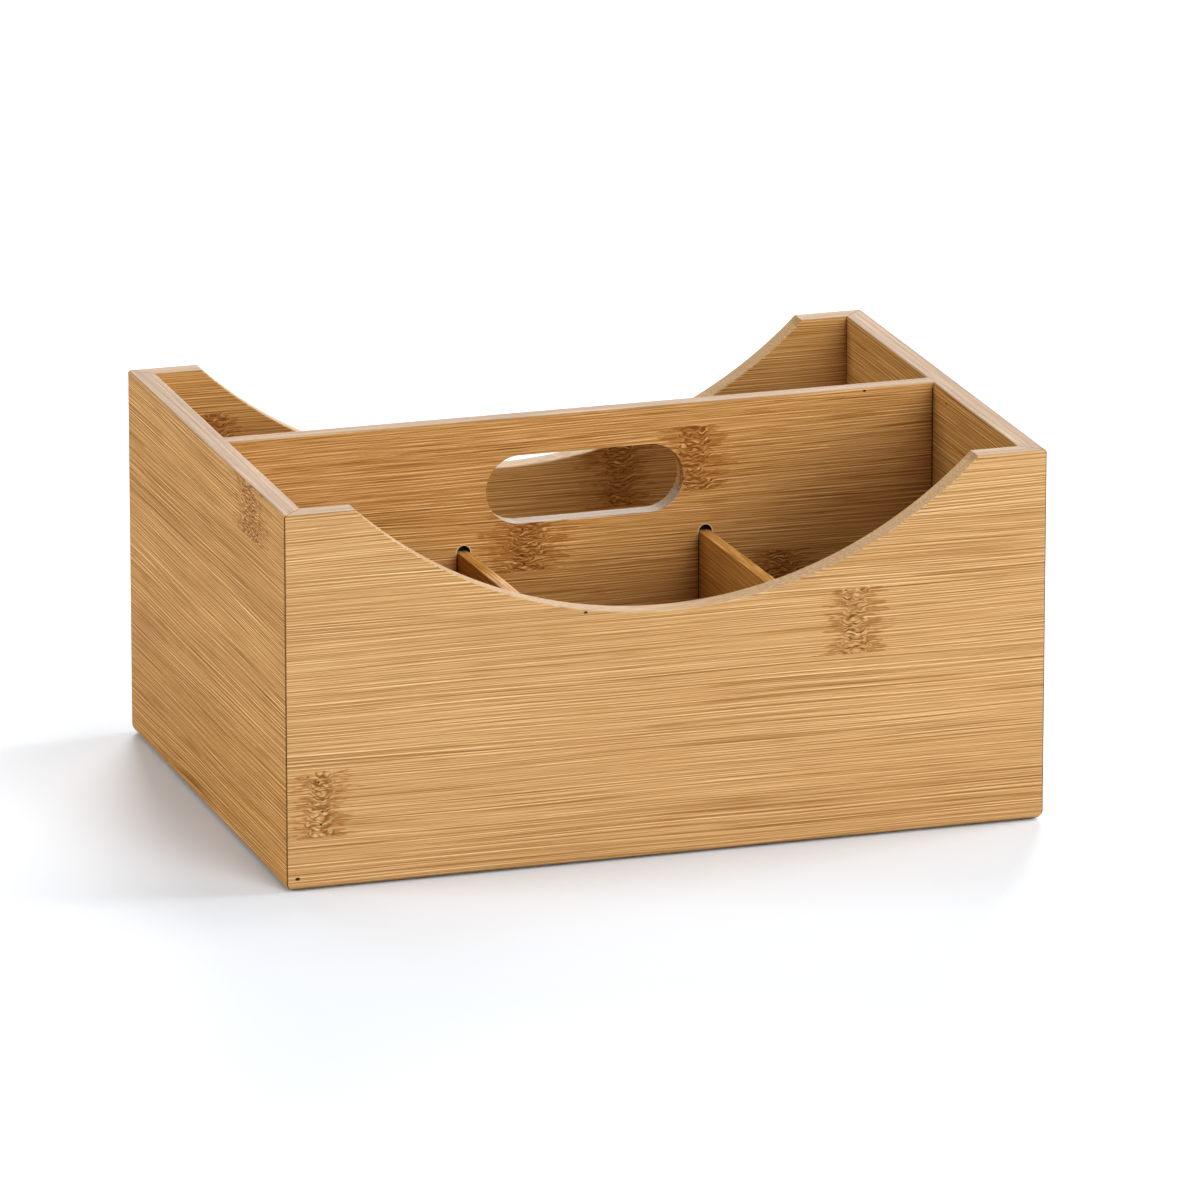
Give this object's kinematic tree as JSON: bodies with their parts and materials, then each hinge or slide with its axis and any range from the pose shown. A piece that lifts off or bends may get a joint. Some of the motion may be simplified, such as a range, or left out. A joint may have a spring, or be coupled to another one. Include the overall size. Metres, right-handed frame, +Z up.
{
  "type": "storage box",
  "caption": "Open bamboo storage box with scooped front and back, a full-height centre divider with a handle slot, and low cross dividers in the front compartment.",
  "frame": {"origin": "centre of the box's footprint, on the plane that it stands on", "axes": "+X to the right along the box's length, +Y to the back, +Z up; the scooped front with the cross dividers behind it faces -Y"},
  "size_m": [0.25, 0.18, 0.122],
  "materials": {
    "wall_bamboo": "horizontally laid bamboo strips, sanded, clear satin lacquer",
    "divider_bamboo": "horizontally laid bamboo strips, sanded, clear satin lacquer",
    "thin_bamboo": "thin bamboo board, sanded, clear satin lacquer",
    "bottom_bamboo": "thin bamboo board, sanded, clear satin lacquer"
  },
  "bodies": {
    "root": {"front_panel": "wall_bamboo", "back_panel": "wall_bamboo", "left_side_panel": "wall_bamboo", "right_side_panel": "wall_bamboo", "centre_divider": "divider_bamboo", "cross_divider_left": "thin_bamboo", "cross_divider_right": "thin_bamboo", "bottom_panel": "bottom_bamboo"}
  },
  "joints": []
}
